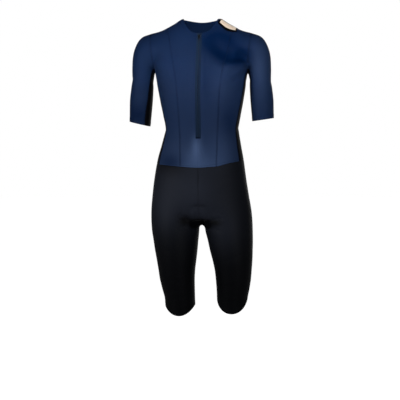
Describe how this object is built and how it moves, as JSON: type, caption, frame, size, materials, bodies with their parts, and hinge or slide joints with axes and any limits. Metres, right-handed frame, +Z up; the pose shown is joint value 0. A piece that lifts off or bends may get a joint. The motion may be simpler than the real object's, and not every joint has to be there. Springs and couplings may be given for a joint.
{
  "type": "triathlon suit",
  "caption": "One-piece short-sleeved triathlon suit with a front zip, contrast side panels and knee-length legs, filled out as worn and hollow.",
  "frame": {"origin": "the middle of the neck opening at the height of the shoulder line", "axes": "+Z up along the body, -Y out of the front, +X towards the wearer's left"},
  "size_m": [0.5047, 0.2383, 1.0341],
  "materials": {
    "navy_knit": "matte stretch knit",
    "black_knit": "matte stretch knit",
    "zip_tape": "woven tape",
    "slider_metal": "satin paint",
    "label": "satin heat-bonded film"
  },
  "bodies": {
    "suit": {"front_center_right": "navy_knit", "front_center_left": "navy_knit", "front_side_right": "navy_knit", "front_side_left": "navy_knit", "back": "navy_knit", "sleeve_right": "navy_knit", "sleeve_left": "navy_knit", "collar": "navy_knit", "side_panel_right": "black_knit", "side_panel_left": "black_knit", "sleeve_underarm_right": "black_knit", "sleeve_underarm_left": "black_knit", "short_front_right": "black_knit", "short_front_left": "black_knit", "short_back_right": "black_knit", "short_back_left": "black_knit", "zip_tape_right": "zip_tape", "zip_tape_left": "zip_tape", "zip_slider": "slider_metal", "shoulder_label": "label"},
    "pull_tab": {"zip_pull_tab": "slider_metal"}
  },
  "joints": [
    {"name": "pull_tab_swing", "type": "hinge", "parent": "suit", "child": "pull_tab", "pos_m": [0, -0.07005, -0.02747], "axis": [-1, 0, 0], "range_deg": [0, 160]}
  ]
}
